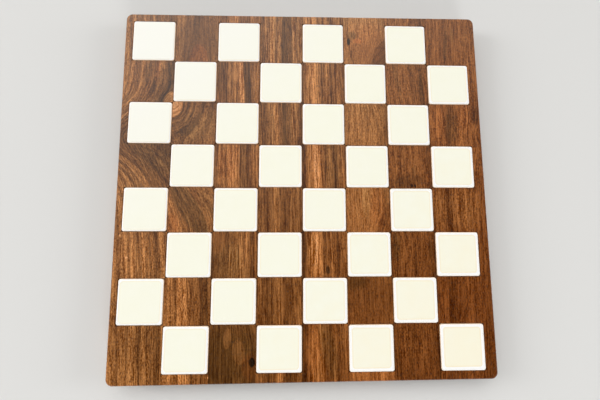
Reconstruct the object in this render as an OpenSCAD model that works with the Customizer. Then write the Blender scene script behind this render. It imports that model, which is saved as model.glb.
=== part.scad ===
// Checkerboard: eight dadoed hardwood staves glued edge to edge, with a glazed tile bedded in every light square.
// The board lies flat with +Z up. The origin is on the table, under the centre of the board.
// Files run a to h from left to right and ranks 1 to 8 from front to back, so square a1 is wood.

/* [Squares] */
// Side of one playing square, which is also the width of one inner stave
square_pitch = 50.8; // [46:0.2:56]
// Joint between a tile and the staves at its left and right
side_joint = 0.6; // [0.6:0.05:1]
// Joint between a tile and the wood at its front and back
end_joint = 0.4; // [0.1:0.05:0.5]
// Offset of the chequered field from the board's centre, towards the right
field_shift = -1.9; // [-3:0.1:3]
// Turn of the chequered field against the trimmed outline, in degrees
field_turn = -0.28; // [-0.5:0.02:0.5]

/* [Board] */
// Mean width of the plain margin round the field
margin = 10.4; // [9:0.1:16]
// Thickness of the staves
stave_h = 19; // [16:0.5:25]
// Radius of the board's upright corners
corner_r = 7.5; // [5:0.5:15]
// Radius of the eased edges, top and bottom
ease_r = 2; // [1:0.25:4]

/* [Tiles] */
// Thickness of a tile at its flat field
tile_h = 6; // [5:0.25:8]
// How far the tiles stand above the wood
tile_proud = 1; // [0:0.1:1.5]
// Radius of a tile's upright corners
tile_corner_r = 2.6; // [2.5:0.1:4]
// Width of the cushion edge that rolls down from the flat field
cushion_w = 2.4; // [1:0.1:2.4]
// Drop of the cushion edge, from the flat field to the tile's side
cushion_drop = 0.8; // [0.3:0.1:1]
// Number of key grooves pressed into a tile's back
key_count = 5; // [3:1:7]

/* [Bedding and feet] */
// Thickness of the adhesive under a tile
bed_h = 1; // [0.5:0.1:2]
// How far the adhesive in the joints stays below the wood's surface
joint_recess = 1; // [0.5:0.1:3]
// Diameter of a felt pad
pad_d = 22; // [15:1:30]
// Thickness of a felt pad
pad_h = 3; // [2:0.5:5]
// Distance from the board's sides to a pad's centre
pad_inset = 34; // [20:1:60]

/* [Hidden] */
$fn = 64;
SQUARES = 8;
FILES = "abcdefgh";
STAVE_NAMES = [for (file = [0:SQUARES - 1]) str("stave_", FILES[file])];
BED_NAMES = [for (file = [0:SQUARES - 1]) str("adhesive_", FILES[file])];
TILE_NAMES = [for (file = [0:SQUARES - 1]) for (rank = light_ranks(file)) tile_name(file, rank)];
PADS = [["pad_front_left", -1, -1], ["pad_front_right", 1, -1], ["pad_back_left", -1, 1], ["pad_back_right", 1, 1]];

board_side = SQUARES * square_pitch + 2 * margin;
board_top = pad_h + stave_h;
tile_side = square_pitch - 2 * side_joint;
housing_len = tile_side + 2 * end_joint;
housing_depth = bed_h + tile_h - tile_proud;
housing_floor = board_top - housing_depth;
key_w = 4.5;
key_depth = 0.5;
key_pitch = tile_side / (key_count + 1);
slack = 1; // cutters run this far past what they cut
walnut = ["#6b4630", "#6f4a33", "#7a4d2c", "#80522f", "#85562c", "#7e4f2a", "#6e4224", "#6a3f22"];
glaze = "#fbf6e3";
glue = "#4a2f1c";
felt = "#3a2c22";

// Ranks, counted from 0, of the light squares in a file
function light_ranks(file) = [for (rank = [0:SQUARES - 1]) if ((file + rank) % 2 == 1) rank];

// Node name of the tile on a square, such as tile_e4
function tile_name(file, rank) = str("tile_", FILES[file], rank + 1);

// Left side of a file and centre of a rank, in the field's frame
function seam_x(file) = (file - SQUARES / 2) * square_pitch;
function rank_y(rank) = (rank + 0.5 - SQUARES / 2) * square_pitch;

// Carries what is drawn in the field's frame, centred on the field, to its place on the board
module on_field() {
  translate([field_shift, 0, 0])
    rotate(field_turn)
      children();
}

// Square plate whose four sides and four upright corners carry the edge profile given as a child.
// The profile starts on the axis of a corner, at x = 0, and is corner_r wide.
module edged_plate(side, height, corner_r) {
  flat = side - 2 * corner_r;
  translate([-flat / 2, -flat / 2, 0])
    cube([flat, flat, height]);
  for (turn = [0:90:270])
    rotate(turn)
      translate([flat / 2, flat / 2, 0]) {
        rotate([90, 0, 0])
          linear_extrude(flat)
            children();
        rotate_extrude(angle = 90)
          children();
      }
}

// Edge of the board, with its upper and lower arris rounded over
module eased_profile() {
  square([corner_r - ease_r, stave_h]);
  translate([0, ease_r])
    square([corner_r, stave_h - 2 * ease_r]);
  for (y = [ease_r, stave_h - ease_r])
    translate([corner_r - ease_r, y])
      circle(ease_r);
}

// Edge of a tile: a shallow arc that leaves the flat field level and meets the side at an arris
module cushion_profile() {
  cushion_r = (pow(cushion_w, 2) + pow(cushion_drop, 2)) / (2 * cushion_drop);
  square([tile_corner_r, tile_h - cushion_drop]);
  square([tile_corner_r - cushion_w, tile_h]);
  intersection() {
    translate([tile_corner_r - cushion_w, tile_h - cushion_r])
      circle(cushion_r);
    square([tile_corner_r, tile_h]);
  }
}

// Outline of a tile seen from above
module tile_outline() {
  reach = tile_side / 2 - tile_corner_r;
  square([tile_side, 2 * reach], center = true);
  square([2 * reach, tile_side], center = true);
  for (x = [-reach, reach])
    for (y = [-reach, reach])
      translate([x, y])
        circle(tile_corner_r);
}

// Whole board before it is told apart into staves
module trimmed_panel() {
  translate([0, 0, pad_h])
    edged_plate(board_side, stave_h, corner_r)
      eased_profile();
}

// Blank of one stave: a square wide, but out past the board's side on the two outer ones
module stave_blank(file) {
  left = file == 0 ? -board_side : seam_x(file);
  right = file == SQUARES - 1 ? board_side : seam_x(file + 1);
  translate([left, -board_side, 0])
    cube([right - left, 2 * board_side, 2 * board_top]);
}

// Housing cut right across an inner stave, which its neighbours close into a pocket.
// On an outer stave it stops at the margin.
module housing(file, rank) {
  left = seam_x(file) - (file == 0 ? 0 : slack);
  right = seam_x(file + 1) + (file == SQUARES - 1 ? 0 : slack);
  translate([left, rank_y(rank) - housing_len / 2, housing_floor])
    cube([right - left, housing_len, housing_depth + slack]);
}

module stave(file) {
  color(walnut[file])
    difference() {
      intersection() {
        trimmed_panel();
        on_field()
          stave_blank(file);
      }
      on_field()
        for (rank = light_ranks(file))
          housing(file, rank);
    }
}

// Bars that cut the key grooves into a tile's back, and fill them with adhesive
module key_bars(length, below) {
  for (n = [1:key_count])
    translate([n * key_pitch - tile_side / 2 - key_w / 2, -length / 2, -below])
      cube([key_w, length, key_depth + below]);
}

// Carries what is drawn round a tile's centre, with the tile's back at z = 0, to its square
module on_square(file, rank) {
  on_field()
    translate([seam_x(file) + square_pitch / 2, rank_y(rank), housing_floor + bed_h])
      children();
}

module tile(file, rank) {
  color(glaze)
    on_square(file, rank)
      difference() {
        edged_plate(tile_side, tile_h, tile_corner_r)
          cushion_profile();
        key_bars(tile_side + 2 * slack, slack);
      }
}

// Adhesive that fills a pocket under and round its tile, and the tile's key grooves
module bed() {
  filling_h = housing_depth - joint_recess;
  difference() {
    translate([-square_pitch / 2, -housing_len / 2, -bed_h])
      cube([square_pitch, housing_len, filling_h]);
    linear_extrude(tile_h)
      tile_outline();
  }
  key_bars(tile_side, bed_h / 2);
}

module adhesive(file) {
  color(glue)
    for (rank = light_ranks(file))
      on_square(file, rank)
        bed();
}

module felt_pad(side_x, side_y) {
  reach = board_side / 2 - pad_inset;
  color(felt)
    translate([side_x * reach, side_y * reach, 0])
      cylinder(d = pad_d, h = pad_h);
}

for (file = [0:SQUARES - 1]) {
  stave(file);
  adhesive(file);
  for (rank = light_ranks(file))
    tile(file, rank);
}
for (pad = PADS)
  felt_pad(pad[1], pad[2]);
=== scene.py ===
"""Checkerboard of walnut staves with a glazed tile in every light square.

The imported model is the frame. Staves, tiles and felt pads are modelled again over it with soft arrises,
the adhesive keeps its solids, and every piece gets a procedural material.
"""

import math
import random
from functools import partialmethod

import bmesh
import bpy
from bpy.props import FloatProperty, FloatVectorProperty, PointerProperty
from mathutils import Matrix, Vector


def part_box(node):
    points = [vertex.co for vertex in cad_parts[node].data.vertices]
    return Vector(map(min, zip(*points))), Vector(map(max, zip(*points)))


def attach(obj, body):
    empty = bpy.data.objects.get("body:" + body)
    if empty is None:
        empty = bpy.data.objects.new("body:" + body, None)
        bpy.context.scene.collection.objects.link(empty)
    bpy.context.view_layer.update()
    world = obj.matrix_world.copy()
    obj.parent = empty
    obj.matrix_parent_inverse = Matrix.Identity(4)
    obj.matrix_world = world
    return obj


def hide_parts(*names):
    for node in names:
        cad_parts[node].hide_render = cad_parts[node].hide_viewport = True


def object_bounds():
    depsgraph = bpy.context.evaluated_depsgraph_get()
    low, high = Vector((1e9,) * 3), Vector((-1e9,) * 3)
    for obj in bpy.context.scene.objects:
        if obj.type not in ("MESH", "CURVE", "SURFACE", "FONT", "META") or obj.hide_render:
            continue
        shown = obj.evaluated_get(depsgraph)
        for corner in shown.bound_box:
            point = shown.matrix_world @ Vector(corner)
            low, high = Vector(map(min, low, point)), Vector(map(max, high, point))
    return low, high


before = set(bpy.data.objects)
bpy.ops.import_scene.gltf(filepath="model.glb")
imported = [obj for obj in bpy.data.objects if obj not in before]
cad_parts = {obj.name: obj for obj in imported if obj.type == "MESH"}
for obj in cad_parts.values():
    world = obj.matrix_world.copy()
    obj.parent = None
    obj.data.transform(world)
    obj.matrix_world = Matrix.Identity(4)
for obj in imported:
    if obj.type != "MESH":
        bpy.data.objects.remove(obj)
CAD_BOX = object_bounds()

bl_info = {
    "name": "Checkerboard",
    "version": (1, 0, 0),
    "blender": (4, 5, 0),
    "location": "View3D > Sidebar > Checkerboard",
    "description": "Models a checkerboard of walnut staves and glazed tiles over its packed frame",
    "category": "Add Mesh",
}

MM = 0.001
BODY = "root"
FILES = "abcdefgh"
SQUARES = len(FILES)


def middle(node):
    """Centre of a CAD node's box."""
    low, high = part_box(node)
    return (low + high) / 2


# The chequered field, read from the tiles' places
TILE_NODES = sorted(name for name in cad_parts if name.startswith("tile_"))
FIELD_CENTRE = (middle("tile_a8") + middle("tile_h1")) / 2
FIELD_ROW = middle("tile_g2") - middle("tile_a2")
FIELD_TURN = math.atan2(FIELD_ROW.y, FIELD_ROW.x)
PITCH = FIELD_ROW.length / FILES.index("g")
WOOD_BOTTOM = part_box("stave_d")[0].z
WOOD_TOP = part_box("stave_d")[1].z
TILE_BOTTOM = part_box("tile_e4")[0].z
TILE_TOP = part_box("tile_e4")[1].z
HOUSING_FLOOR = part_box("adhesive_d")[0].z
BOARD_SIDE = CAD_BOX[1][0] - CAD_BOX[0][0]

# Shades of oiled walnut by lightness, where 100 is the board's mean
SHADES = [(30, "#231207"), (55, "#4d2b0d"), (70, "#603915"), (85, "#73461e"), (100, "#865528"), (115, "#9d6633"),
          (135, "#bd7d43"), (150, "#cf925b")]

# Tints of the greyest and the reddest ring, of a pore, and of the darkest and the palest fibre, whose mean leaves
# the wood as it is. The fibre tints are partly painted sheen, a near grey lightening and darkening along the fibres
GREY_TINT = (.97, 1.13, 1.3, 1)
RED_TINT = (1.02, .78, .66, 1)
PORE = "#2e1a0b"
DARK_FIBRE_AND_SHEEN = (.4, .26, 0, 1)
PALE_FIBRE_AND_SHEEN = (1.6, 1.74, 2, 1)

# Lightness across each stave's grain, from its left side at 0 to its right side at 1
BANDS = {
    "a": [(-.3, 112), (-.1, 102), (.05, 112), (.12, 103), (.2, 113), (.3, 103), (.36, 96), (.46, 114), (.55, 102),
          (.6, 96), (.65, 107), (.73, 85), (.8, 103), (.87, 112), (.95, 100), (1.05, 93), (1.15, 90), (1.3, 95),
          (1.45, 87), (1.6, 93), (1.8, 86)],
    "b": [(-.2, 96), (0, 112), (.1, 99), (.2, 112), (.32, 118), (.42, 101), (.48, 92), (.56, 101), (.66, 82),
          (.78, 92), (.95, 101), (1.1, 100)],
    "c": [(-.1, 92), (.15, 97), (.28, 89), (.35, 103), (.45, 108), (.52, 115), (.6, 104), (.66, 90), (.72, 99),
          (.8, 85), (.88, 97), (.95, 108), (1.1, 106)],
    "d": [(-.1, 102), (.07, 96), (.15, 84), (.22, 94), (.3, 97), (.36, 109), (.42, 117), (.47, 112), (.51, 89),
          (.58, 84), (.66, 87), (.74, 98), (.8, 105), (.9, 98), (.96, 86), (1.1, 97)],
    "e": [(-.05, 76), (.05, 81), (.1, 100), (.15, 116), (.22, 112), (.3, 125), (.37, 125), (.43, 110), (.5, 96),
          (.56, 97), (.62, 114), (.68, 106), (.75, 91), (.8, 97), (.87, 110), (.95, 102), (1.1, 95)],
    "f": [(0, 106), (.2, 114), (.5, 110), (.7, 114), (.86, 110), (.94, 102), (1, 100), (1.1, 97), (1.3, 98),
          (1.6, 92)],
    "g": [(-.1, 94), (.12, 103), (.3, 99), (.5, 104), (.7, 104), (.85, 95), (.95, 87), (1.1, 92)],
    "h": [(-.1, 94), (.05, 98), (.12, 106), (.22, 110), (.3, 97), (.37, 85), (.43, 87), (.5, 98), (.58, 108),
          (.65, 101), (.72, 108), (.8, 113), (.9, 102), (1, 104), (1.1, 99), (1.25, 92)],
}

# Each stave's grain: its lean and the fall of its rings through the wood, as slopes, the strength of its fibres,
# of its ring edges and of its bands, and the length of its fibres in mm
GRAINS = {
    "a": (.046, .9, .75, 1.3, 1.3, 45),
    "b": (.046, .9, .7, 1.5, 1.1, 40),
    "c": (.03, -.6, .96, .8, .9, 90),
    "d": (.028, .25, 1.05, .8, 1.0, 80),
    "e": (.018, -.2, 1.1, .8, .94, 90),
    "f": (.008, 2.5, .56, .6, .9, 45),
    "g": (.023, 1.4, .8, .4, .9, 50),
    "h": (-.02, -1.1, .84, .3, .6, 50),
}

# Each stave's tone: the lightness it adds at its back and at its front end, and its redness there
TONES = {
    "a": (-4, -2, .36, .44),
    "b": (-7, 6, .46, .54),
    "c": (3, -21, .48, .42),
    "d": (6, -9, .36, .57),
    "e": (-2, -11, .42, .72),
    "f": (5, -2, .24, .80),
    "g": (2, -23, .55, .82),
    "h": (0, -20, .62, 1.0),
}

# The tables below go by staves, and their places are in mm, across and along from the field's centre

# Rings that close round a knot: place, reach, ring at the heart, and -1 or 1 as they fall or rise outwards
KNOTS = {"a": [(-151, 99, 25, -136, -1)], "b": [(-151, 99, 27, -136, 1)]}

# Swirls that push the grain aside: place, reach across and along, push in mm
SWIRLS = {
    "ab": [(-214, 60, 45, 34, 65), (-162, 40, 50, 58, 34), (-133, 134, 11, 38, 16)],
    "b": [(-127, 6, 24, 34, 16)],
    "c": [(-33, -149, 22, 15, 20)],
    "f": [(101, 137, 21, 24, 71), (88, -54, 17, 17, 11), (73, -2, 13, 40, 10)],
    "g": [(130, -77, 14, 65, -13), (129, 175, 15, 81, 9)],
    "h": [(243, 65, 44, 12, 10)],
}

# Calm wood, where the figure fades: place, reach across and along, share of the figure that goes
CALM = {
    "ab": [(-152, 99, 13, 18, .85)],
    "b": [(-124, 176, 36, 36, .75), (-116, 66, 26, 22, .3), (-127, -25, 30, 32, .5)],
    "c": [(-95, -60, 11, 18, .7), (-82, -180, 36, 32, .75)],
    "d": [(-25, -25, 30, 30, .4), (-25, -127, 34, 34, .5)],
    "e": [(27, -178, 34, 34, .5)],
    "f": [(78, 166, 22, 18, .75), (76, -127, 34, 34, .3)],
    "h": [(178, 178, 36, 34, .55), (178, -127, 36, 34, .3)],
}

# Growth lines, each an arc of an ellipse: centre, radii, half width, change of lightness, and the place where
# the line is strongest, with its reach
LINES = {
    "ab": [(-152, 99, 12.5, 17.5, 1.1, -22, -146, 84, 24), (-152, 99, 15.5, 22, 1.1, 12, -144, 80, 26),
           (-152, 99, 18, 26, 1.1, -12, -143, 78, 26), (-152, 99, 21, 30.5, 1.3, 12, -142, 76, 24),
           (-152, 99, 24, 34.5, 1.5, -16, -142, 74, 22)],
    "b": [(-152, 99, 39.5, 47, 2.2, 11, -119, 68, 24), (-152, 99, 33, 37, 3.6, -15, -124, 76, 26)],
    "a": [(-151, 99, 15, 17, 1.3, -9, -160, 112, 16), (-235, -30, 53, 59, 1.2, -14, -192, 10, 26),
          (-235, -30, 57, 63, 1.2, 16, -192, 10, 26), (-235, -30, 61, 67, 1.4, -16, -192, 14, 28),
          (-235, -30, 65, 72, 1.4, 14, -188, 16, 28), (-235, -30, 68, 75, 1.1, -10, -186, 20, 28),
          (-235, -30, 71, 78.5, 1.1, 10, -182, 20, 28), (-235, -30, 83, 92, 3.5, -9, -172, 22, 26)],
    "f": [(92, 186, 35, 60, .9, -22, 60, 162, 20), (110, 148, 24, 38, .8, -14, 92, 172, 24),
          (60, 20, 36, 100, 1.0, -14, 97, 75, 26), (112, -60, 22, 42, 3.2, -15, 98, -28, 18)],
}

# Marks: place, radii across and along, turn in degrees, softness of the edge, change of lightness and of redness
MARKS = {
    "ab": [(-152, 99, 11.4, 16.2, 0, .1, 51, 0)],
    "a": [(-154, 97, 13, 13, 0, .1, -20, 0), (-180, 128, 26, 26, 0, .6, -3, .1),
          (-171.5, 141, 2.6, 19, -3, .4, 17, .15), (-163, 122, 12, 30, -22, .3, -18, -.15),
          (-183, 137, 5, 14, -8, .5, -10, -.1), (-172, 38, 34, 14, -38, .5, -2, -.25),
          (-178, 25, 30, 28, 0, .6, 5, 0), (-178, -76, 28, 28, 0, .6, 9, .05), (-178, -178, 28, 28, 0, .6, -6, 0),
          (-204.5, -54.5, 1.1, 1.1, 0, .4, 55, 0), (-195.5, -79, 1.3, 1, 0, .4, 50, 0)],
    "b": [(-136, 62, 20, 10, 40, .5, -8, -.1), (-124, 72, 22, 20, 0, .5, 0, -.2),
          (-105, 92, 8, 14, 0, .5, -12, -.05), (-129, -24, 11, 38, 32, .1, -8, -.3),
          (-108, -16, 8, 18, 25, .4, -2, -.1), (-149, -44, 9, 13, 0, .25, 0, .2),
          (-124, 153, 11, 22, 0, .1, 11, .4), (-127, 180, 34, 30, 0, .6, -6, -.12),
          (-107, -127, 4, 30, 0, .6, -9, -.1), (-101.8, -206.5, 1, 1, 0, .4, 60, 0)],
    "c": [(-97, 136, 6, 26, 4, .5, -12, -.05), (-72, 126, 2.6, 45, 3, .4, 46, .05), (-81, 128, 4, 45, 3, .5, -6, 0),
          (-65.5, 127, 4.2, 45, 4, .25, -25, -.1), (-76, 25, 28, 28, 0, .6, 15, .1),
          (-67, 25, 6, 45, 0, .2, -8, -.15), (-88, 25, 9, 45, 0, .4, 17, .05), (-95.5, -60, 9, 15, 0, .07, 9, .1),
          (-84, -76, 12, 27, 0, .6, 6, 0), (-64, -76, 7, 45, 0, .35, 29, .05), (-53.5, -76, 4, 45, 0, .4, 2, .15),
          (-72.5, -80, 2.2, 14, 0, .4, -14, -.1), (-84, -84, 14, 20, 0, .5, 7, -.15),
          (-82, -190, 34, 34, 0, .4, -13, -.2), (-82.3, -166.5, 4.2, 11, -3, .08, 25, .1),
          (-69.5, -181, 7, 13, 10, .07, 19, .1), (-57, -196, 9, 14, 0, .3, 8, .4),
          (-54.9, -191.5, 3.2, 5, 0, .2, -40, -.3)],
    "d": [(-25.6, 76, 2, 45, 0, .4, 12, 0), (-18, 76, 5.5, 45, 0, .3, -8, -.1), (-46, 178, 8, 60, 0, .4, 2, .05),
          (-32, 178, 1.8, 60, 0, .4, -19, 0), (-27.4, 178, 2.6, 60, 0, .35, 28, 0),
          (-18.5, 178, 6.5, 60, 0, .2, -23, -.1), (-6, 178, 5, 60, 0, .5, 18, 0)],
    "e": [(17, 26, 3.6, 45, 0, .4, 14, 0), (27, 25, 26, 28, 0, .5, 6, 0), (36, 25, 9, 45, 0, .4, -10, -.2),
          (13, -72, 6, 20, 0, .5, 18, -.1), (27, -178, 28, 28, 0, .6, 3, 0), (10, -178, 9, 30, 0, .5, 12, .1),
          (29, -178, 8, 32, 12, .3, -10, -.25), (28.8, -93.5, 2.2, 4.4, 0, .3, -45, -.2)],
    "f": [(57, 181, 2, 4.6, 0, .3, -70, -.3), (80, 178, 30, 28, 0, .6, 2, .3), (61, 189, 5, 5, 0, .5, -26, -.3),
          (68, 182, 5, 3, 0, .4, 10, .3), (92, 160, 3, 3.5, 0, .3, 8, .1), (60, 163, 1.4, 15, -12, .5, -14, 0),
          (110, 148, 24, 38, 0, .03, -20, 0), (99, 66, 1.5, 22, -3, .5, -10, 0), (112, -60, 26, 46, 0, .03, -4, .1),
          (75, -20, 16, 28, 0, .6, 2, 0), (74, -14, 4.5, 21, 0, .3, 6, -.2), (88, -24, 8, 24, 0, .4, -3, .15),
          (76, -127, 32, 34, 0, .4, -22, 0), (60, -107, 13, 8, 0, .5, -20, -.2)],
    "g": [(127, 127, 28, 28, 0, .6, 4, 0), (127, 25, 28, 28, 0, .6, 6, 0), (124, 8, 18, 8, 8, .35, -20, -.1),
          (131.6, 21, 2.2, 5, 0, .4, -14, -.15), (148, 12, 3, 5, 0, .4, 14, .15),
          (115, 134, 3, 22, 12, .5, -8, -.15), (143.6, 124, 2.6, 20, 0, .4, -10, -.15),
          (149.8, 126, 1.6, 18, 0, .4, 12, .2), (107.5, -67, 4, 16, 0, .4, -9, -.25),
          (147, -71, 2, 11, 0, .4, -11, -.1), (115, -178, 2, 26, 0, .4, 9, -.05),
          (128.5, 2.5, 1.3, 2, 0, .4, -45, 0), (132, 2.5, 1.2, 2, 0, .4, -45, 0)],
    "h": [(177, 178, 2.4, 22, -6, .4, -10, -.2), (186, 192, 2, 10, 0, .4, -8, -.2), (178, 76, 28, 28, 0, .6, 6, 0),
          (162, 80, 8, 22, 0, .5, 9, .05), (179, 74, 7, 24, 0, .5, -17, -.25), (196, 84, 7, 16, 0, .5, 6, .05),
          (178, -25, 30, 28, 0, .6, 12, -.2), (178, -127, 32, 30, 0, .6, -4, .05),
          (209, 88, 4.5, 10, 0, .4, -24, 0)],
}

# Soft lamps low round the board: place in metres, share of the power
LAMPS = [
    ("lamp_left", (-2.8, .6, 1.2), 1.0),
    ("lamp_front", (.6, -3.2, 1.1), 1.2),
    ("lamp_right", (3.2, .2, 1.05), 1.0),
]

# Glow of the room: its colour, how far past level with its side it reaches, and the heights, as the upward part of
# a direction, between which it sets in and the pale band round the horizon ends
ROOM_COLOUR = (1, .985, .96, 1)
GLOW_REACH = .27
GLOW_HEIGHTS = (.3, .7)
HORIZON_HEIGHTS = (.3, .55)

# Width of the camera's sensor in mm, and seed of the tiles' laying errors
SENSOR_WIDTH = 36
LAYING_SEED = 8

# Most that two heights on one level differ, in metres
LEVEL_ERROR = 1e-6

# Colours of the glaze, from its field to its arris. The back left shade is painted light, the front right shade is
# painted shade, the pool is partly painted shade and the rim is partly a painted highlight
GLAZE = {"pale": "#fbfbed", "cream": "#f9f9e6", "back left": "#f9f9f1", "front right": "#fbf6e0",
         "pool_and_shade": "#faeccb", "rim": "#fdfdfc", "arris": "#eec79e"}

# White rim of the glaze in mm, partly thin glaze and partly a painted highlight: its width in mid-field, how much
# wider it gets and how far it slips at the front right, where the painted highlight grows, how it wavers, and where
# it fades. Then the glaze that pools inside it, partly painted shade: where it rises and falls, how far it lies from
# the rim, how strong it shows and how much stronger at the front right. Then where the arris fades and how strong it
# shows. Last, the slants between which the painted light of the back left and the painted shade of the front right
# fade
RIM_WIDTH = 2.35
RIM_HIGHLIGHT_GROWTH = 1.5
RIM_HIGHLIGHT_SLIP = (.3, .5)
RIM_WAVER = .6
RIM_FADE = (-.45, .35)
POOL_RISE = (-.5, 0)
POOL_FALL = (0, 1.6)
POOL_OFFSET = .35
POOL_SHADE = .45
POOL_SHADE_GROWTH = .4
ARRIS_FADE = (.2, .7)
ARRIS_SHADE = .9
PAINTED_LIGHT_SLANTS = (-.9, -.1)
PAINTED_SHADE_SLANTS = (.4, 1.3)

# Lightness that stands for the board's mean, and lightness at which a band is full
MEAN_LIGHT = 100
BAND_FULL = 200

# How far rings and fibres stray, in mm, and the share of a swirl's push that fibres follow
RING_DRIFT = 3.5
RING_WAVER = 1.2
FIBRE_WAVER = .8
FIBRE_PUSH = .5

# Rings in a knot: how they waver in mm, where their edges begin to show in mm from the heart, and their contrast
KNOT_WAVER = 2
KNOT_EDGES = (14, 19)
KNOT_CONTRAST = 8

# Late wood: distance in mm between two edges, how they waver, and the mean that it takes off
LATE_PITCH = 6.5
LATE_WAVER = 2
LATE_MEAN = .25

# Noise levels between which dashes and pores rise, sway of the pores, and fibre length at which specks are full
DASH_LEVELS = (.35, .65)
PORE_LEVELS = (.58, .68)
PORE_SWAY = 4
SPECK_LENGTH = 45

# Ragged outlines of marks, as a share of their radii, and of growth lines, in mm. Then the levels between which a
# line rises at its ends, and the shares of its half width between which it fades at its sides
MARK_RAGGED = .3
LINE_RAGGED = .8
LINE_ENDS = (.15, .6)
LINE_SIDES = (.3, 1.7)

# Share of the calm that fibres feel, how they tint the wood, partly as painted sheen, how much rings differ in
# redness, and the redness that stands for the greyest and for the reddest ring
FIBRE_CALM = .5
FIBRE_TINT_AND_SHEEN = .0188
RING_REDNESS = .15
RED_LEVELS = (-.1, 1.1)

# End grain: how squarely a face meets the grain where it sets in and where it is full, and how dark it turns
END_LEVELS = (.6, .95)
END_DARKNESS = .4

# How much rougher than the oiled face strands, pores and end grain are
STRAND_ROUGH = .12
PORE_ROUGH = .2
END_ROUGH = .15

# What sets the noise of one stave apart from the next
SEED_STEP = 31.7


def linear(hex_colour):
    """Linear red, green, blue and alpha of a web colour."""
    channels = [int(hex_colour[k:k + 2], 16) / 255 for k in (1, 3, 5)]
    return (*[c / 12.92 if c <= .04045 else ((c + .055) / 1.055) ** 2.4 for c in channels], 1)


class Wire:
    """One value in a node tree. Arithmetic on it adds the math nodes."""

    def __init__(self, tree, socket):
        self.tree = tree
        self.socket = socket

    def math(self, operation, *others):
        """Result of a math node on this value and the others."""
        node = add(self.tree, "ShaderNodeMath", dict(enumerate((self, *others))), operation=operation)
        return Wire(self.tree, node.outputs[0])

    __add__ = partialmethod(math, "ADD")
    __sub__ = partialmethod(math, "SUBTRACT")
    __mul__ = partialmethod(math, "MULTIPLY")
    __truediv__ = partialmethod(math, "DIVIDE")
    __abs__ = partialmethod(math, "ABSOLUTE")
    root = partialmethod(math, "SQRT")
    at_least = partialmethod(math, "MAXIMUM")
    fraction = partialmethod(math, "FRACT")

    def flipped(self):
        """1 less this value."""
        return self * -1 + 1

    def step(self, low, high):
        """Smooth rise from 0 at low to 1 at high."""
        node = add(self.tree, "ShaderNodeMapRange", {0: self, 1: low, 2: high}, interpolation_type="SMOOTHSTEP")
        return Wire(self.tree, node.outputs[0])


def plug(tree, value, socket):
    """Joins a wire to a socket, or sets the socket to a plain value."""
    if isinstance(value, Wire):
        tree.links.new(value.socket, socket)
    else:
        socket.default_value = value


def add(tree, kind, inputs=None, **settings):
    """New node with its settings and inputs."""
    node = tree.nodes.new(kind)
    for name, value in settings.items():
        setattr(node, name, value)
    for name, value in (inputs or {}).items():
        plug(tree, value, node.inputs[name])
    return node


def parts(vector):
    """The three parts of a vector."""
    node = add(vector.tree, "ShaderNodeSeparateXYZ", {0: vector})
    return [Wire(vector.tree, socket) for socket in node.outputs]


def coordinates(tree, kind):
    """Texture coordinates of a kind."""
    return Wire(tree, add(tree, "ShaderNodeTexCoord").outputs[kind])


def length_of(aside, ahead):
    """Length of a step aside and ahead."""
    return (aside * aside + ahead * ahead).root()


def noise(x, y, z=0.0, detail=2.0, roughness=.5):
    """Noise from 0 to 1, with a mean of a half and one wave per unit of each place."""
    place = add(x.tree, "ShaderNodeCombineXYZ", {0: x, 1: y, 2: z})
    vector = Wire(x.tree, place.outputs[0])
    node = add(x.tree, "ShaderNodeTexNoise", {"Vector": vector, "Scale": 1.0, "Detail": detail,
                                              "Roughness": roughness})
    return Wire(x.tree, node.outputs["Fac"])


def ramp(value, stops):
    """Colour read off a list of stops, each a value and a colour."""
    lowest, highest = stops[0][0], stops[-1][0]
    node = add(value.tree, "ShaderNodeValToRGB", {0: (value - lowest) / (highest - lowest)})
    for _ in stops[2:]:
        node.color_ramp.elements.new(.5)
    for element, (place, colour) in zip(node.color_ramp.elements, stops):
        element.position = (place - lowest) / (highest - lowest)
        element.color = colour
    return Wire(value.tree, node.outputs[0])


def mixed(factor, first, second):
    """Mix of two colours."""
    node = add(factor.tree, "ShaderNodeMix", {"Factor": factor, 6: first, 7: second}, data_type="RGBA")
    return Wire(factor.tree, node.outputs[2])


def tinted(colour, tint):
    """Colour seen through a tint."""
    node = add(colour.tree, "ShaderNodeMix", {"Factor": 1.0, 6: colour, 7: tint}, data_type="RGBA",
               blend_type="MULTIPLY")
    return Wire(colour.tree, node.outputs[2])


def new_material(name):
    """New material, with its tree and its shader."""
    material = bpy.data.materials.new(name)
    material.use_nodes = True
    tree = material.node_tree
    return material, tree, tree.nodes["Principled BSDF"]


def coat(shader, colour, roughness, height=None, depth=0.0):
    """Gives a shader its colour, its roughness, and relief from a height of 0 to 1 that stands for a depth in mm."""
    plug(colour.tree, colour, shader.inputs["Base Color"])
    plug(colour.tree, roughness, shader.inputs["Roughness"])
    if height:
        bump = add(height.tree, "ShaderNodeBump", {"Height": height, "Distance": depth * MM, "Strength": 1.0})
        plug(height.tree, Wire(height.tree, bump.outputs[0]), shader.inputs["Normal"])


def board_point(tree, origin, turn):
    """Place on the board in mm, seen from an origin and a turned frame."""
    shift = Matrix.Rotation(-turn, 3, "Z") @ Vector(origin) / -MM
    mapping = add(tree, "ShaderNodeMapping", {"Vector": coordinates(tree, "Object"), "Location": shift,
                                              "Rotation": (0, 0, -turn), "Scale": (1 / MM,) * 3})
    return Wire(tree, mapping.outputs[0])


def depth_inside(across, along, half, corner):
    """How deep a place lies inside a square with rounded corners, up to the corners' radius."""
    aside, ahead = ((abs(place) - (half - corner)).at_least(0.0) for place in (across, along))
    return length_of(aside, ahead) * -1 + corner


def field_place(across, along, height=0.0):
    """Place on the board, in metres, of a point given in the field's own frame."""
    flat = Matrix.Rotation(FIELD_TURN, 3, "Z") @ Vector((across, along, 0))
    return Vector((FIELD_CENTRE.x + flat.x, FIELD_CENTRE.y + flat.y, height))


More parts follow.
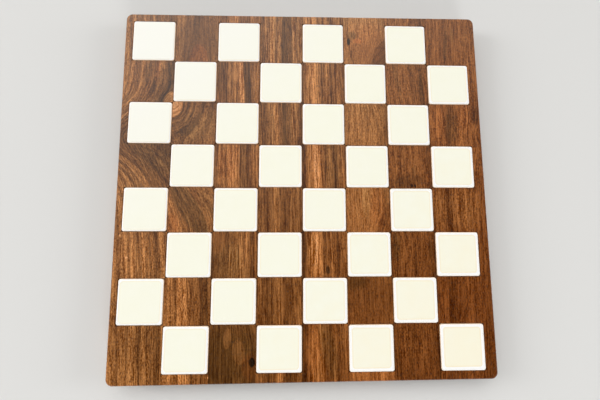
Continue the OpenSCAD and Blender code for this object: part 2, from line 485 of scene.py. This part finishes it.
class Walnut:
    """Wood of one stave. Its places are in mm: across and along from the field's centre, and high above its face."""

    def __init__(self, tree, file, settings):
        self.file = file
        self.settings = settings
        number = FILES.index(file)
        self.seed = SEED_STEP * (number + 1)
        self.left = (number - SQUARES / 2) * PITCH / MM
        face = Vector((FIELD_CENTRE.x, FIELD_CENTRE.y, WOOD_TOP))
        self.across, self.along, self.high = parts(board_point(tree, face, FIELD_TURN))
        self.lean, self.fall, self.fibre_share, self.edge_share, self.band_share, self.length = GRAINS[file]
        self.waver = self.waves(7, 16, 7)
        self.ragged = self.waves(4, 7, 4, detail=2)

    def rows(self, table):
        """What a table says of this stave."""
        return [row for staves, rows in table.items() if self.file in staves for row in rows]

    def waves(self, across, along, through, track=None, detail=1, roughness=.5):
        """Noise round 0, in waves of these lengths in mm, across the wood or across a track."""
        return noise((track or self.across) / across, self.along / along + self.seed, self.high / through,
                     detail, roughness) - .5

    def streaks(self, track, width, run, through=0.0, detail=2):
        """Noise from 0 to 1, in streaks of this width and run in mm that follow a track."""
        return noise(track / width, self.along / run, through + self.seed, detail)

    def near(self, x, y, reach_across, reach_along):
        """1 at a place, and near 0 past twice its reach."""
        aside, ahead = (self.across - x) / reach_across, (self.along - y) / reach_along
        fall = (aside * aside + ahead * ahead) * -1
        node = add(fall.tree, "ShaderNodeMath", {0: math.e, 1: fall}, operation="POWER")
        return Wire(fall.tree, node.outputs[0])

    def grain(self):
        """Tracks of the rings and of the fibres, and the contrast of the edges that end the rings."""
        straight = self.across + self.along * self.lean + self.high * self.fall
        ring = straight + self.waves(30, 80, 30) * RING_DRIFT + self.waver * RING_WAVER
        fibre = straight + self.waver * FIBRE_WAVER
        for *reach, push in self.rows(SWIRLS):
            shift = self.near(*reach) * push
            ring, fibre = ring + shift, fibre + shift * FIBRE_PUSH
        edge = self.settings.late_contrast * self.edge_share
        for x, y, reach, heart, side in self.rows(KNOTS):
            near = self.near(x, y, reach, reach)
            distance = length_of(self.across - x, self.along - y)
            closed = distance * side + heart + self.waver * KNOT_WAVER
            ring, fibre = ring + (closed - ring) * near, fibre + (closed - fibre) * near
            edge = near * distance.step(*KNOT_EDGES) * KNOT_CONTRAST + edge
        return ring, fibre, edge

    def tone(self):
        """Lightness and redness of the stave, from its back to its front, with its marks."""
        back, front, red_back, red_front = TONES[self.file]
        front_share = self.along / -BOARD_SIDE * MM + .5
        light = front_share * (front - back) + back + MEAN_LIGHT
        red = front_share * (red_front - red_back) + red_back
        for x, y, radius_across, radius_along, turn, soft, change, redness in self.rows(MARKS):
            cos, sin = math.cos(math.radians(turn)), math.sin(math.radians(turn))
            aside = ((self.across - x) * cos + (self.along - y) * sin) / radius_across
            ahead = ((self.along - y) * cos - (self.across - x) * sin) / radius_along
            distance = length_of(aside, ahead) + self.ragged * MARK_RAGGED
            cover = distance.step(1 - soft, 1 + soft).flipped()
            light = light + cover * change
            red = red + cover * redness
        return light, red

    def figure(self, ring, edge):
        """Change of lightness by the bands, by the rings with their late wood, and by the mottle."""
        settings = self.settings
        stops = [(place, (light / BAND_FULL,) * 3 + (1,)) for place, light in BANDS[self.file]]
        bands = ramp((ring - self.left) / (PITCH / MM), stops)
        late = (ring / LATE_PITCH + self.streaks(ring, 13, 150, detail=1) * LATE_WAVER).fraction()
        late = late * late * late
        broad = self.streaks(ring, 4, 60) - .5
        mottle = self.waves(7, 9, 7, detail=3, roughness=.6)
        return (bands * BAND_FULL - MEAN_LIGHT) * (settings.band_strength * self.band_share) \
            - (late - LATE_MEAN) * edge + mottle * settings.mottle_contrast \
            + broad * (settings.broad_contrast * self.fibre_share)

    def fibres(self, ring, fibre):
        """Change of lightness by ring lines, strands, dashes and specks, and the strands alone."""
        settings = self.settings
        depth = self.high / self.length
        line = self.streaks(ring, 1.7, self.length, depth) - .5
        strand = self.streaks(fibre, 1.3, self.length * .6, depth) - .5
        dash = self.streaks(fibre, 1.1, self.length * .1 + 4, self.high / 6, detail=1).step(*DASH_LEVELS) - .5
        speck = self.waves(1.1, 2.4, 2.4, track=fibre)
        speck_contrast = settings.speck_contrast * SPECK_LENGTH / self.length
        fine = (line * settings.line_contrast + strand * settings.strand_contrast
                + dash * settings.dash_contrast + speck * speck_contrast) * self.fibre_share
        return fine, strand

    def calmed(self, figure, fine):
        """Figure and fibres, faded where the wood is calm."""
        for *reach, fade in self.rows(CALM):
            calm = self.near(*reach) * fade
            figure, fine = figure * calm.flipped(), fine * (calm * -FIBRE_CALM + 1)
        return figure, fine

    def growth_lines(self, light):
        """Lightness with the stave's growth lines drawn in."""
        for x, y, radius_across, radius_along, half_width, change, near_x, near_y, reach in self.rows(LINES):
            aside, ahead = (self.across - x) / radius_across, (self.along - y) / radius_along
            off = abs(length_of(aside, ahead) - 1) * radius_across + self.ragged * LINE_RAGGED
            here = self.near(near_x, near_y, reach, reach).step(*LINE_ENDS)
            light = light + off.step(*(half_width * side for side in LINE_SIDES)).flipped() * here * change
        return light

    def pores(self):
        """1 in a pore. Pores are dashes on a face along the grain and dots on the stave's ends."""
        return noise(self.across / .7 + self.waver * PORE_SWAY, self.along / 4 + self.seed, self.high / .7,
                     detail=1).step(*PORE_LEVELS)


def walnut_material(file, settings):
    """Walnut of one stave: grain pushed aside by its swirls, with bands, streaks, pores and marks."""
    material, tree, shader = new_material(f"walnut_{file}")
    wood = Walnut(tree, file, settings)
    ring, fibre, edge = wood.grain()
    light, red = wood.tone()
    fine, strand = wood.fibres(ring, fibre)
    figure, fine = wood.calmed(wood.figure(ring, edge), fine)
    light = wood.growth_lines(light + figure)
    colour = ramp(light, [(lightness, linear(shade)) for lightness, shade in SHADES])

    # Some rings are redder and some greyer, and fibres differ in lightness more than in colour, partly as painted
    # sheen
    red = (red + (wood.streaks(ring, 6, 90, 9) - .5) * RING_REDNESS).step(*RED_LEVELS)
    colour = tinted(colour, mixed(red, GREY_TINT, RED_TINT))
    colour = tinted(colour, mixed(fine * FIBRE_TINT_AND_SHEEN + .5, DARK_FIBRE_AND_SHEEN, PALE_FIBRE_AND_SHEEN))
    pore = wood.pores()
    colour = mixed(pore * settings.pore_depth, colour, linear(PORE))

    # End grain drinks more finish and turns darker
    end = abs(parts(coordinates(tree, "Normal"))[1]).step(*END_LEVELS)
    colour = mixed(end * END_DARKNESS, colour, linear(SHADES[0][1]))

    rough = strand * STRAND_ROUGH + pore * PORE_ROUGH + end * END_ROUGH + settings.sheen_roughness
    coat(shader, colour, rough, strand * .5 - pore + 1, .05)
    shader.inputs["Specular IOR Level"].default_value = .45
    return material


def glaze_material(settings):
    """Cream glaze, thin and white over the cushion edge, the white partly a painted highlight, with a warmer line
    where it pools inside, partly painted shade; painted light at the back left, painted shade at the front right.
    """
    material, tree, shader = new_material("tile_glaze")
    half = settings.side / MM / 2
    right, up = ((place - .5) * 2 * half for place in parts(coordinates(tree, "UV"))[:2])
    across, along, high = parts(board_point(tree, FIELD_CENTRE, FIELD_TURN))

    # Slant goes from -1 at the back left of the field to 1 at its front right, where the rim, partly a painted
    # highlight, is widest
    slant = (across - along) / (SQUARES * PITCH / MM)
    inside = depth_inside(right + slant * RIM_HIGHLIGHT_SLIP[0], up - slant * RIM_HIGHLIGHT_SLIP[1], half, settings.rim_corner / MM)
    wavy = noise(across / 7, along / 7)
    # The white rim is partly thin glaze and partly a painted highlight, wider and slipped at the front right
    past_rim = inside - (slant * RIM_HIGHLIGHT_GROWTH + RIM_WIDTH + (wavy - .5) * RIM_WAVER)
    rim = past_rim.step(*RIM_FADE).flipped()
    # The warmer band inside the rim is partly pooled glaze and partly painted shade, stronger at the front right
    past_pool = past_rim - POOL_OFFSET
    pool_and_shade = past_pool.step(*POOL_RISE) * past_pool.step(*POOL_FALL).flipped()
    arris = depth_inside(right, up, half, settings.corner / MM).step(*ARRIS_FADE).flipped()

    # The field's two creams cloud into each other, and every other shade lies over the ones before it: painted light
    # at the back left, painted shade at the front right, a pool that is partly painted shade and a rim that is
    # partly a painted highlight
    cloud = noise(across / 16, along / 16, detail=3)
    colour = mixed(cloud, linear(GLAZE["pale"]), linear(GLAZE["cream"]))
    for name, share in (("back left", slant.step(*PAINTED_LIGHT_SLANTS).flipped()),
                        ("front right", (slant + cloud * .5).step(*PAINTED_SHADE_SLANTS)),
                        ("pool_and_shade", pool_and_shade * (slant * POOL_SHADE_GROWTH + POOL_SHADE)),
                        ("rim", rim), ("arris", arris * ARRIS_SHADE)):
        colour = mixed(share, colour, linear(GLAZE[name]))
    coat(shader, colour, cloud * .08 + settings.roughness, noise(across / 5, along / 5, high / 5), .03)
    shader.inputs["IOR"].default_value = 1.5
    shader.inputs["Specular IOR Level"].default_value = .2
    return material


def adhesive_material():
    """Dull brown adhesive with trapped grit."""
    material, tree, shader = new_material("joint_adhesive")
    place = parts(board_point(tree, FIELD_CENTRE, FIELD_TURN))
    lump = noise(*(part / 2.5 for part in place), detail=3)
    grit = noise(*(part / .4 for part in place), detail=1)
    colour = mixed(lump, linear("#3a2415"), linear("#5a3d27"))
    colour = mixed(grit.step(.62, .75) * .6, colour, linear("#7a5c40"))
    coat(shader, colour, grit * .2 + .6, lump * .6 + grit * .4, .1)
    return material


def felt_material():
    """Dark brown felt of short matted fibres that lie two ways."""
    material, tree, shader = new_material("pad_felt")
    across, along, high = parts(board_point(tree, (0, 0, 0), 0))
    width, run, depth = .12, 1.1, .3
    twist = noise(across / 1.5, along / 1.5, high / 1.5) * 3
    one_way = noise(across / width + twist, along / run, high / depth)
    other_way = noise(across / run, along / width + twist, high / depth)
    fibre = one_way.at_least(other_way)
    colour = mixed(fibre.step(.35, .75), linear("#231913"), linear("#5a4637"))
    coat(shader, colour, fibre * -.1 + 1, fibre, .12)
    shader.inputs["Sheen Weight"].default_value = .35
    return material


def floor_material(settings):
    """Plain pale floor with hardly a cloud."""
    material, tree, shader = new_material("pale_floor")
    across, along, _ = parts(board_point(tree, (0, 0, 0), 0))
    cloud = noise(across / 300, along / 300)
    coat(shader, mixed(cloud * .06, (*settings.floor_colour, 1), (.6, .6, .6, 1)), .85)
    return material


def leave_all():
    """Goes to object mode with nothing selected."""
    if bpy.context.mode != "OBJECT":
        bpy.ops.object.mode_set(mode="OBJECT")
    bpy.ops.object.select_all(action="DESELECT")


def select_only(piece):
    """Makes a piece the only selected object, and the active one."""
    leave_all()
    piece.select_set(True)
    bpy.context.view_layer.objects.active = piece


def settled(name):
    """The primitive just added, with a name, and with its place in its mesh."""
    bpy.ops.object.transform_apply(location=True, rotation=True, scale=True)
    bpy.context.object.name = name
    return bpy.context.object


def start_block(name, size, centre, turn=0.0):
    """Cube primitive at its size and place."""
    leave_all()
    bpy.ops.mesh.primitive_cube_add(size=1, location=centre, rotation=(0, 0, turn), scale=size)
    return settled(name)


def copied(pattern, name):
    """Copy of a piece with its own mesh."""
    piece = pattern.copy()
    piece.data = pattern.data.copy()
    piece.name = name
    bpy.context.collection.objects.link(piece)
    return piece


def pick(piece, kind, test):
    """Goes into edit mode with only the edges or faces selected that pass a test."""
    select_only(piece)
    bpy.ops.object.mode_set(mode="EDIT")
    bpy.ops.mesh.select_mode(type=kind)
    bpy.ops.mesh.select_all(action="DESELECT")
    shape = bmesh.from_edit_mesh(piece.data)
    for item in (shape.edges if kind == "EDGE" else shape.faces):
        item.select_set(test(item))
    shape.select_flush_mode()
    bmesh.update_edit_mesh(piece.data)


def upright(edge):
    """True for an edge that runs straight up."""
    run = edge.verts[1].co - edge.verts[0].co
    return abs(run.z) > .9 * run.length


def level_at(height):
    """Test for an edge or face that lies level at a height."""
    return lambda item: all(abs(vert.co.z - height) < LEVEL_ERROR for vert in item.verts)


def apply_modifier(piece, kind, **settings):
    """Adds a modifier with its settings and applies it."""
    select_only(piece)
    modifier = piece.modifiers.new(kind.lower(), kind)
    for name, value in settings.items():
        setattr(modifier, name, value)
    bpy.ops.object.modifier_apply(modifier=modifier.name)


def finish_piece(piece, material, slot, *nodes):
    """Smooths a piece, gives it its material and lets it stand for its CAD nodes, which it hides. The slot is not
    used.
    """
    select_only(piece)
    bpy.ops.object.shade_smooth_by_angle(angle=math.radians(35))
    apply_modifier(piece, "WEIGHTED_NORMAL", keep_sharp=True, weight=100)
    piece.data.materials.clear()
    piece.data.materials.append(material)
    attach(piece, BODY)
    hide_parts(*nodes)


class BoardSettings(bpy.types.PropertyGroup):
    """Sizes of the wooden board."""

    corner: FloatProperty(
        name="Corner radius", description="Radius of the board's upright corners", default=7.5 * MM, unit="LENGTH")
    ease: FloatProperty(
        name="Eased edge", description="Radius of the edges, top and bottom", default=2 * MM, unit="LENGTH")
    arris: FloatProperty(
        name="Arris", description="Width of the broken arris at seams and housings", default=.15 * MM,
        unit="LENGTH")
    housing_length: FloatProperty(
        name="Housing length", description="Length of a housing along its stave", default=50.4 * MM, unit="LENGTH")


class WalnutSettings(bpy.types.PropertyGroup):
    """Look of the walnut."""

    band_strength: FloatProperty(name="Bands", description="Strength of the staves' own bands", default=1.4)
    late_contrast: FloatProperty(
        name="Late wood", description="Darkness of the edges that end the rings", default=18.0)
    broad_contrast: FloatProperty(name="Broad rings", description="Contrast of the rings 4 mm wide", default=35.0)
    line_contrast: FloatProperty(
        name="Ring lines", description="Contrast of the ring lines 1.7 mm wide", default=95.0)
    strand_contrast: FloatProperty(name="Strands", description="Contrast of the long straight fibres", default=95.0)
    dash_contrast: FloatProperty(name="Dashes", description="Contrast of the short straight fibres", default=30.0)
    speck_contrast: FloatProperty(name="Specks", description="Contrast of the specks 2.4 mm long", default=135.0)
    mottle_contrast: FloatProperty(name="Mottle", description="Contrast of the even mottle", default=28.0)
    pore_depth: FloatProperty(name="Pores", description="Darkness of the pores", default=.5, subtype="FACTOR")
    sheen_roughness: FloatProperty(
        name="Roughness", description="Roughness of the oiled surface", default=.27, subtype="FACTOR")


class TileSettings(bpy.types.PropertyGroup):
    """Sizes and glaze of the tiles."""

    side: FloatProperty(name="Side", description="Side of a tile", default=49.6 * MM, unit="LENGTH")
    corner: FloatProperty(
        name="Corner radius", description="Radius of a tile's upright corners", default=2.6 * MM, unit="LENGTH")
    cushion_width: FloatProperty(
        name="Cushion width", description="Width of the edge that rolls down", default=2.4 * MM, unit="LENGTH")
    cushion_drop: FloatProperty(
        name="Cushion drop", description="Drop of the edge at a tile's side", default=.8 * MM, unit="LENGTH")
    arris: FloatProperty(
        name="Arris", description="Rounding between cushion edge and side", default=.3 * MM, unit="LENGTH")
    rim_corner: FloatProperty(
        name="Rim corner", description="Corner radius of the white rim's inner side", default=6.5 * MM,
        unit="LENGTH")
    roughness: FloatProperty(
        name="Glaze roughness", description="Roughness of the glaze", default=.1, subtype="FACTOR")
    slip: FloatProperty(
        name="Laying slip", description="Most that a tile was laid off its place", default=.12 * MM, unit="LENGTH")
    tilt: FloatProperty(
        name="Laying tilt", description="Most that a tile was laid out of level", default=math.radians(.12),
        unit="ROTATION")


class PadSettings(bpy.types.PropertyGroup):
    """Trim of the felt pads."""

    edge: FloatProperty(
        name="Rounded edge", description="Radius of a pad's lower edge", default=.5 * MM, unit="LENGTH")
    rim: FloatProperty(
        name="Rim", description="Width of the rim round a pad's sunk underside", default=1.2 * MM, unit="LENGTH")
    dish: FloatProperty(
        name="Dish", description="How far a pad's underside sinks inside its rim", default=.15 * MM, unit="LENGTH")


class StageSettings(bpy.types.PropertyGroup):
    """Floor, lamps and camera."""

    floor_side: FloatProperty(name="Floor side", description="Side of the square floor", default=8, unit="LENGTH")
    floor_colour: FloatVectorProperty(
        name="Floor", description="Colour of the floor", subtype="COLOR", default=(.74, .74, .73))
    lamp_power: FloatProperty(
        name="Lamps", description="Power of each soft lamp beside the board", default=39, unit="POWER")
    lamp_side: FloatProperty(name="Lamp side", description="Side of each square lamp", default=1.2, unit="LENGTH")
    glow: FloatProperty(name="Glow", description="Strength of the soft glow above the far left", default=2.8)
    glow_side: FloatVectorProperty(
        name="Glow side", description="Level direction that the glow rises in", default=(-.4, .917, 0),
        subtype="DIRECTION")
    horizon: FloatProperty(name="Horizon", description="Strength of the pale band round the horizon", default=.8)
    camera_place: FloatVectorProperty(
        name="Camera place", description="Place of the camera", default=(-14.6 * MM, -50.9 * MM, 365.3 * MM),
        subtype="TRANSLATION")
    camera_turn: FloatVectorProperty(
        name="Camera turn", description="Turn of the camera",
        default=[math.radians(angle) for angle in (6.094, -1.632, -.323)], subtype="EULER")
    lens: FloatProperty(name="Lens", description="Focal length on a 36 mm sensor", default=18, unit="CAMERA")


class CHECKERBOARD_OT_staves(bpy.types.Operator):
    """Cut the eased panel into eight staves with housings for the tiles"""

    bl_idname = "checkerboard.staves"
    bl_label = "Staves"

    def execute(self, context):
        board = context.scene.checkerboard_board
        centre = ((CAD_BOX[0][0] + CAD_BOX[1][0]) / 2, (CAD_BOX[0][1] + CAD_BOX[1][1]) / 2,
                  (WOOD_BOTTOM + WOOD_TOP) / 2)
        panel = start_block("panel", (BOARD_SIDE, BOARD_SIDE, WOOD_TOP - WOOD_BOTTOM), centre)
        pick(panel, "EDGE", upright)
        bpy.ops.mesh.bevel(offset=board.corner, segments=12, affect="EDGES")
        for height in (WOOD_BOTTOM, WOOD_TOP):
            pick(panel, "EDGE", level_at(height))
            bpy.ops.mesh.bevel(offset=board.ease, segments=6, affect="EDGES")
        bpy.ops.object.mode_set(mode="OBJECT")
        for file in FILES:
            stave = self.cut_stave(panel, file, board)
            finish_piece(stave, walnut_material(file, context.scene.checkerboard_walnut), "walnut", f"stave_{file}")
        bpy.data.objects.remove(panel)
        return {"FINISHED"}

    def cut_stave(self, panel, file, board):
        """One stave of the panel, with its housings and broken arrises."""
        number = FILES.index(file)
        stave = copied(panel, f"walnut_stave_{file}")
        left, right = ((number + side - SQUARES / 2) * PITCH for side in (0, 1))
        outwards = Matrix.Rotation(FIELD_TURN, 3, "Z") @ Vector((1, 0, 0))
        for seam, normal, outer in ((left, -outwards, number == 0), (right, outwards, number == SQUARES - 1)):
            if not outer:
                pick(stave, "FACE", lambda face: True)
                bpy.ops.mesh.bisect(plane_co=field_place(seam, 0), plane_no=normal, use_fill=True, clear_outer=True)
        select_only(stave)
        cutter = self.housings(number, left, right, board)
        apply_modifier(stave, "BOOLEAN", operation="DIFFERENCE", object=cutter, solver="EXACT")
        bpy.data.objects.remove(cutter)
        apply_modifier(stave, "BEVEL", width=board.arris, segments=2, limit_method="ANGLE",
                       angle_limit=math.radians(50))
        return stave

    def housings(self, number, left, right, board):
        """Blocks that cut the housings of one stave, as one object."""
        slack = 1 * MM
        left -= 0 if number == 0 else slack
        right += 0 if number == SQUARES - 1 else slack
        height = WOOD_TOP - HOUSING_FLOOR + slack
        blocks = []
        for rank in range(SQUARES):
            if (number + rank) % 2 == 1:
                centre = field_place((left + right) / 2, (rank + .5 - SQUARES / 2) * PITCH,
                                     HOUSING_FLOOR + height / 2)
                blocks.append(start_block("housing", (right - left, board.housing_length, height), centre,
                                          FIELD_TURN))
        leave_all()
        for block in blocks:
            block.select_set(True)
        bpy.context.view_layer.objects.active = blocks[0]
        bpy.ops.object.join()
        return blocks[0]


class CHECKERBOARD_OT_tiles(bpy.types.Operator):
    """Model one cushion-edged tile and lay a copy on every light square"""

    bl_idname = "checkerboard.tiles"
    bl_label = "Tiles"

    def execute(self, context):
        settings = context.scene.checkerboard_tiles
        pattern = self.press_tile(settings)
        glaze = glaze_material(settings)
        dice = random.Random(LAYING_SEED)
        for node in TILE_NODES:
            tile = copied(pattern, f"glazed_{node}")
            centre = middle(node)
            slip = [dice.uniform(-1, 1) * settings.slip for _ in range(2)]
            tilt = [dice.uniform(-1, 1) * settings.tilt for _ in range(3)]
            sink = math.sin(max(abs(tilt[0]), abs(tilt[1]))) * settings.side
            turn = Matrix.Rotation(FIELD_TURN + tilt[2], 4, "Z") @ Matrix.Rotation(tilt[0], 4, "X") \
                @ Matrix.Rotation(tilt[1], 4, "Y")
            place = Matrix.Translation((centre.x + slip[0], centre.y + slip[1], TILE_TOP - sink))
            tile.data.transform(place @ turn)
            finish_piece(tile, glaze, "glazed_tile", node)
        bpy.data.objects.remove(pattern)
        return {"FINISHED"}

    def press_tile(self, settings):
        """Tile with its flat field centred at the origin."""
        body = TILE_TOP - TILE_BOTTOM - settings.cushion_drop
        tile = start_block("tile_pattern", (settings.side, settings.side, body),
                           (0, 0, -settings.cushion_drop - body / 2))
        pick(tile, "EDGE", upright)
        bpy.ops.mesh.bevel(offset=settings.corner, segments=8, affect="EDGES")
        pick(tile, "FACE", level_at(-settings.cushion_drop))
        radius = (settings.cushion_width ** 2 + settings.cushion_drop ** 2) / (2 * settings.cushion_drop)
        lean = math.asin(settings.cushion_width / radius)
        steps = 8
        for step in range(steps, 0, -1):
            outer, inner = lean * step / steps, lean * (step - 1) / steps
            bpy.ops.mesh.inset(thickness=radius * (math.sin(outer) - math.sin(inner)),
                               depth=radius * (math.cos(inner) - math.cos(outer)))
        apply_modifier(tile, "BEVEL", width=settings.arris, segments=3, limit_method="ANGLE",
                       angle_limit=math.radians(40))
        layer = tile.data.uv_layers[0] if tile.data.uv_layers else tile.data.uv_layers.new(name="tile")
        for loop in tile.data.loops:
            point = tile.data.vertices[loop.vertex_index].co
            layer.data[loop.index].uv = (point.x / settings.side + .5, point.y / settings.side + .5)
        return tile


class CHECKERBOARD_OT_adhesive(bpy.types.Operator):
    """Give the adhesive in the joints its material"""

    bl_idname = "checkerboard.adhesive"
    bl_label = "Adhesive"

    def execute(self, context):
        material = adhesive_material()
        for file in FILES:
            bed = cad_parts[f"adhesive_{file}"]
            bed.data.materials.clear()
            bed.data.materials.append(material)
        return {"FINISHED"}


class CHECKERBOARD_OT_pads(bpy.types.Operator):
    """Model the four felt pads"""

    bl_idname = "checkerboard.pads"
    bl_label = "Felt pads"

    def execute(self, context):
        settings = context.scene.checkerboard_pads
        felt = felt_material()
        for node in sorted(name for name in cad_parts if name.startswith("pad_")):
            low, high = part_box(node)
            leave_all()
            bpy.ops.mesh.primitive_cylinder_add(vertices=64, radius=(high.x - low.x) / 2, depth=high.z - low.z,
                                                location=(low + high) / 2)
            pad = settled(f"felt_{node}")
            pick(pad, "EDGE", level_at(low.z))
            bpy.ops.mesh.bevel(offset=settings.edge, segments=4, affect="EDGES")
            pick(pad, "FACE", level_at(low.z))
            bpy.ops.mesh.inset(thickness=settings.rim, depth=-settings.dish)
            finish_piece(pad, felt, "felt", node)
        return {"FINISHED"}


class CHECKERBOARD_OT_stage(bpy.types.Operator):
    """Set the floor, the soft lamps and the camera"""

    bl_idname = "checkerboard.stage"
    bl_label = "Stage"

    def execute(self, context):
        settings = context.scene.checkerboard_stage
        leave_all()
        bpy.ops.mesh.primitive_plane_add(size=settings.floor_side, location=(0, 0, 0))
        floor = settled("floor")
        floor.data.materials.append(floor_material(settings))
        for name, place, share in LAMPS:
            self.lamp(name, place, settings.lamp_side, settings.lamp_power * share)
        context.scene.world = self.room(settings)
        camera = bpy.data.objects.new("camera", bpy.data.cameras.new("camera"))
        camera.data.lens = settings.lens
        camera.data.sensor_width = SENSOR_WIDTH
        camera.data.clip_start = .01
        camera.location = settings.camera_place
        camera.rotation_euler = settings.camera_turn
        context.collection.objects.link(camera)
        context.scene.camera = camera
        context.scene.view_settings.view_transform = "Standard"
        return {"FINISHED"}

    def lamp(self, name, place, size, power):
        """Square soft lamp that faces the board and leaves no image of itself in the glaze."""
        light = bpy.data.lights.new(name, "AREA")
        light.size = size
        light.energy = power
        lamp = bpy.data.objects.new(name, light)
        lamp.location = place
        lamp.visible_glossy = False
        lamp.rotation_euler = (-Vector(place)).to_track_quat("-Z", "Y").to_euler()
        bpy.context.collection.objects.link(lamp)

    def room(self, settings):
        """World that glows softly high on the far left, over a pale band round the horizon."""
        world = bpy.data.worlds.new("room")
        world.use_nodes = True
        tree = world.node_tree
        way = coordinates(tree, "Generated")
        towards = add(tree, "ShaderNodeVectorMath", {0: way, 1: Vector(settings.glow_side).normalized()},
                      operation="DOT_PRODUCT")
        rise = (Wire(tree, towards.outputs["Value"]) + GLOW_REACH).at_least(0.0)
        height = parts(way)[2]
        light = rise * rise * height.step(*GLOW_HEIGHTS) * settings.glow \
            + height.step(*HORIZON_HEIGHTS).flipped() * settings.horizon
        background = tree.nodes["Background"]
        background.inputs["Color"].default_value = ROOM_COLOUR
        plug(tree, light, background.inputs["Strength"])
        return world


class CHECKERBOARD_PT_panel(bpy.types.Panel):
    """Steps that build the checkerboard"""

    bl_idname = "CHECKERBOARD_PT_panel"
    bl_label = "Checkerboard"
    bl_space_type = "VIEW_3D"
    bl_region_type = "UI"
    bl_category = "Checkerboard"

    def draw(self, context):
        for operator, groups in STEPS:
            box = self.layout.box()
            for name, group in groups.items():
                for setting in group.__annotations__:
                    box.prop(getattr(context.scene, name), setting)
            box.operator(operator.bl_idname)


# Each step's operator, with its groups of settings by their names on the scene
STEPS = [
    (CHECKERBOARD_OT_staves, {"checkerboard_board": BoardSettings, "checkerboard_walnut": WalnutSettings}),
    (CHECKERBOARD_OT_tiles, {"checkerboard_tiles": TileSettings}),
    (CHECKERBOARD_OT_adhesive, {}),
    (CHECKERBOARD_OT_pads, {"checkerboard_pads": PadSettings}),
    (CHECKERBOARD_OT_stage, {"checkerboard_stage": StageSettings}),
]


def register():
    """Registers the classes, and keeps each group of settings on the scene."""
    for operator, groups in STEPS:
        for name, group in groups.items():
            bpy.utils.register_class(group)
            setattr(bpy.types.Scene, name, PointerProperty(type=group))
        bpy.utils.register_class(operator)
    bpy.utils.register_class(CHECKERBOARD_PT_panel)


def unregister():
    """Takes away what register added."""
    bpy.utils.unregister_class(CHECKERBOARD_PT_panel)
    for operator, groups in STEPS:
        bpy.utils.unregister_class(operator)
        for name, group in groups.items():
            delattr(bpy.types.Scene, name)
            bpy.utils.unregister_class(group)


def main():
    """Builds the board step by step."""
    register()
    bpy.ops.checkerboard.staves()
    bpy.ops.checkerboard.tiles()
    bpy.ops.checkerboard.adhesive()
    bpy.ops.checkerboard.pads()
    bpy.ops.checkerboard.stage()


if __name__ == "__main__":
    main()
